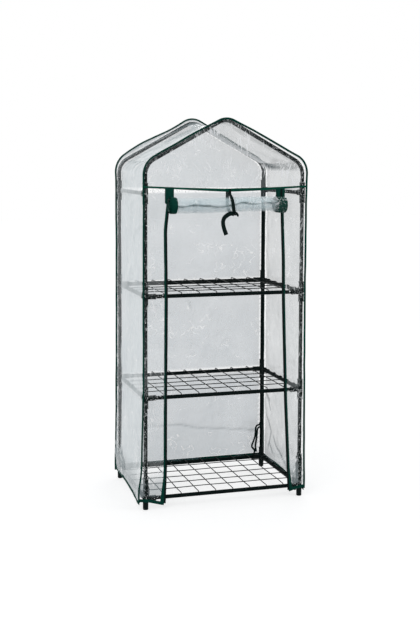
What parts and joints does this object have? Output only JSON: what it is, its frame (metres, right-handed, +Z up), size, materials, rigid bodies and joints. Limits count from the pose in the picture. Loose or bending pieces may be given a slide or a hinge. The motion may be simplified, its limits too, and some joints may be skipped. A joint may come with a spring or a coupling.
{
  "type": "portable film greenhouse",
  "caption": "Small free-standing greenhouse with a steel tube frame, plastic corner fittings, wire shelves and a clear film cover whose front door is rolled up and tied.",
  "frame": {"origin": "middle of the floor rectangle under the whole object, at floor level", "axes": "+Z up, -Y out of the door side, +X to the right seen from the front"},
  "size_m": [0.693, 0.562, 1.5803],
  "materials": {
    "tube_steel": "semi-gloss powder coat, near black green",
    "fitting_plastic": "moulded, satin",
    "shelf_wire": "dipped dark coating",
    "clear_film": "thin clear film, creased",
    "edge_tape": "woven tape, sewn",
    "tie_webbing": "woven webbing"
  },
  "bodies": {
    "root": {"back_arch": "tube_steel", "back_edge_tape": "edge_tape", "back_sheet": "clear_film", "bottom_shelf_grid": "shelf_wire", "bottom_shelf_rail_back": "tube_steel", "bottom_shelf_rail_front": "tube_steel", "bottom_shelf_rail_left": "tube_steel", "bottom_shelf_rail_right": "tube_steel", "corner_ties": "tie_webbing", "door_edge_tapes": "edge_tape", "door_head": "clear_film", "door_roll": "clear_film", "door_tie": "tie_webbing", "eaves_fittings": "fitting_plastic", "foot_fittings": "fitting_plastic", "front_arch": "tube_steel", "front_edge_tape": "edge_tape", "front_flap_left": "clear_film", "front_flap_right": "clear_film", "gable_sheet": "clear_film", "hem_tape": "edge_tape", "middle_shelf_fittings": "fitting_plastic", "middle_shelf_grid": "shelf_wire", "middle_shelf_rail_back": "tube_steel", "middle_shelf_rail_front": "tube_steel", "middle_shelf_rail_left": "tube_steel", "middle_shelf_rail_right": "tube_steel", "post_back_left": "tube_steel", "post_back_right": "tube_steel", "post_front_left": "tube_steel", "post_front_right": "tube_steel", "roof_sheet_left": "clear_film", "roof_sheet_right": "clear_film", "seam_tape": "edge_tape", "side_sheet_left": "clear_film", "side_sheet_right": "clear_film", "top_rail_left": "tube_steel", "top_rail_right": "tube_steel", "upper_shelf_fittings": "fitting_plastic", "upper_shelf_grid": "shelf_wire", "upper_shelf_rail_back": "tube_steel", "upper_shelf_rail_front": "tube_steel", "upper_shelf_rail_left": "tube_steel", "upper_shelf_rail_right": "tube_steel", "zip_tapes": "edge_tape"}
  },
  "joints": []
}
